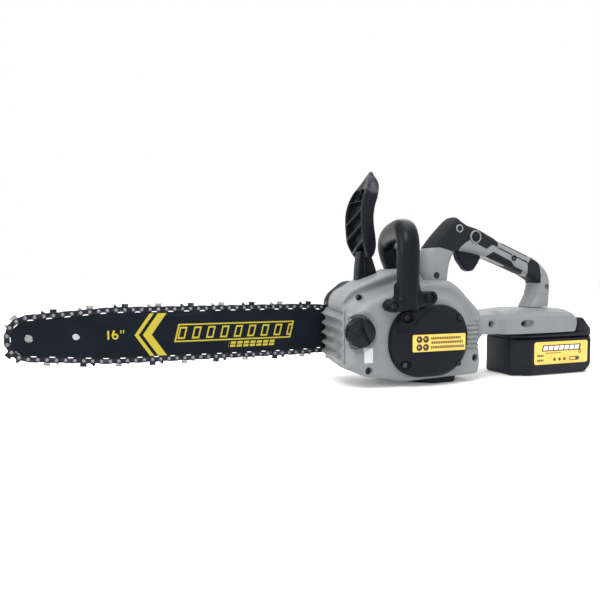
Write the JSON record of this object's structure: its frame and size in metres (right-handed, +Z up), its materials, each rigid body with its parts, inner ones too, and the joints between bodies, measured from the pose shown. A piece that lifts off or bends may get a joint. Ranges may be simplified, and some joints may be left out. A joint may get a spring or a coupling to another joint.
{
  "type": "cordless chainsaw",
  "caption": "Battery chainsaw with a guide bar and chain, wrap-round front handle, swinging hand guard, rear grip with trigger and a slide-in battery pack.",
  "frame": {"origin": "on the ground plane under the motor's axis, on the mid-plane of the rear handle and battery; the skid and the battery rest on z = 0", "axes": "+X to the rear (battery), so the bar's nose points to -X; +Y to the saw's right-hand side, where the bar is; +Z up"},
  "size_m": [0.7784, 0.1402, 0.2745],
  "materials": {
    "grey_shell": "satin moulded plastic",
    "black_shell": "satin moulded plastic",
    "grip_rubber": "soft overmoulded grip",
    "cast_grey": "die cast, lightly textured",
    "bar_paint": "painted steel",
    "steel": "bright steel",
    "dark_steel": "blackened steel",
    "tank_plastic": "translucent plastic",
    "copper": "copper windings on steel laminations",
    "board_green": "circuit board",
    "cell_blue": "sleeved cells"
  },
  "bodies": {
    "powerhead": {"housing_left": "grey_shell", "housing_right": "grey_shell", "base_skid": "black_shell", "bumper_spikes": "cast_grey", "motor_cover": "black_shell", "cover_screw_1": "dark_steel", "cover_screw_2": "dark_steel", "cover_screw_3": "dark_steel", "cover_screw_4": "dark_steel", "motor_stator": "copper", "motor_bearing_left": "steel", "motor_bearing_right": "steel", "sprocket_bearing": "steel", "brake_band": "steel", "bar_stud_1": "steel", "bar_nut_1": "steel", "bar_stud_2": "steel", "bar_nut_2": "steel", "sprocket_cover": "black_shell", "oil_tank": "tank_plastic", "oil_pump": "cast_grey", "front_handle": "black_shell", "handle_screw_1": "dark_steel", "handle_screw_2": "dark_steel", "guard_pin": "steel", "rear_handle_left": "grey_shell", "rear_handle_right": "grey_shell", "grip_left": "grip_rubber", "grip_right": "grip_rubber", "trigger_pin": "steel", "trigger_switch": "black_shell", "battery_dock": "grey_shell", "terminal_block": "black_shell", "controller_board": "board_green"},
    "motor": {"motor_rotor": "dark_steel", "motor_shaft": "steel", "motor_pinion": "dark_steel", "cooling_fan": "black_shell"},
    "drive": {"drive_gear": "dark_steel", "sprocket_shaft": "steel", "drive_sprocket": "dark_steel", "brake_drum": "steel", "sprocket_clip": "dark_steel"},
    "pump": {"pump_gear": "dark_steel"},
    "bar": {"guide_bar": "bar_paint", "nose_rivet": "steel", "bar_rivet": "steel", "saw_chain": "dark_steel", "tensioner_block": "dark_steel"},
    "nose_wheel": {"nose_sprocket": "steel"},
    "tension_screw": {"tensioner_screw": "steel"},
    "guard": {"hand_guard": "black_shell"},
    "trigger": {"trigger": "black_shell"},
    "lock_off": {"lock_off_button": "black_shell"},
    "cap_plug": {"oil_cap_plug": "black_shell"},
    "cap": {"oil_cap": "black_shell"},
    "battery": {"battery_case": "black_shell", "battery_lid": "black_shell", "cell_pack": "cell_blue"},
    "battery_latch": {"battery_latch": "black_shell"}
  },
  "joints": [
    {"name": "motor_spin", "type": "hinge", "parent": "powerhead", "child": "motor", "pos_m": [0, 0, 0.057], "axis": [0, 1, 0], "continuous": true},
    {"name": "sprocket_spin", "type": "hinge", "parent": "powerhead", "child": "drive", "pos_m": [-0.0102, 0, 0.07], "axis": [0, 1, 0], "continuous": true},
    {"name": "pump_spin", "type": "hinge", "parent": "powerhead", "child": "pump", "pos_m": [-0.03, 0.0098, 0.07735], "axis": [1, 0, 0], "continuous": true},
    {"name": "nose_spin", "type": "hinge", "parent": "bar", "child": "nose_wheel", "pos_m": [-0.4756, 0.0355, 0.07], "axis": [0, 1, 0], "continuous": true},
    {"name": "bar_tension", "type": "slide", "parent": "powerhead", "child": "bar", "axis": [-1, 0, 0], "range_m": [0, 0.0015]},
    {"name": "tension_screw_turn", "type": "hinge", "parent": "powerhead", "child": "tension_screw", "pos_m": [-0.09, 0.0261, 0.057], "axis": [1, 0, 0], "range_deg": [0, 541]},
    {"name": "guard_swing", "type": "hinge", "parent": "powerhead", "child": "guard", "pos_m": [-0.066, 0.016, 0.116], "axis": [0, -1, 0], "range_deg": [0, 25]},
    {"name": "trigger_pull", "type": "hinge", "parent": "powerhead", "child": "trigger", "pos_m": [0.064, 0, 0.1805], "axis": [0, -1, 0], "range_deg": [0, 12], "stiffness_Nm_per_rad": 0.5, "springref_deg": -6.88},
    {"name": "lock_off_press", "type": "slide", "parent": "powerhead", "child": "lock_off", "axis": [0, 1, 0], "range_m": [0, 0.004], "stiffness_N_per_m": 300, "springref_m": -0.002},
    {"name": "cap_lift", "type": "slide", "parent": "powerhead", "child": "cap_plug", "axis": [0, -1, 0], "range_m": [0, 0.012]},
    {"name": "cap_turn", "type": "hinge", "parent": "cap_plug", "child": "cap", "pos_m": [-0.106, -0.045, 0.0715], "axis": [0, -1, 0], "range_deg": [-1440, 0]},
    {"name": "battery_slide", "type": "slide", "parent": "powerhead", "child": "battery", "axis": [1, 0, 0], "range_m": [0, 0.11]},
    {"name": "battery_latch_press", "type": "slide", "parent": "battery", "child": "battery_latch", "axis": [0, 0, -1], "range_m": [0, 0.0025], "stiffness_N_per_m": 400, "springref_m": -0.002}
  ],
  "couplings": [
    {"joint": "sprocket_spin", "follows": "motor_spin", "ratio": -0.375},
    {"joint": "nose_spin", "follows": "motor_spin", "ratio": -0.375},
    {"joint": "pump_spin", "follows": "motor_spin", "ratio": 0.041667},
    {"joint": "tension_screw_turn", "follows": "bar_tension", "rad_per_m": 6283.2},
    {"joint": "cap_turn", "follows": "cap_lift", "rad_per_m": -2094.4}
  ]
}
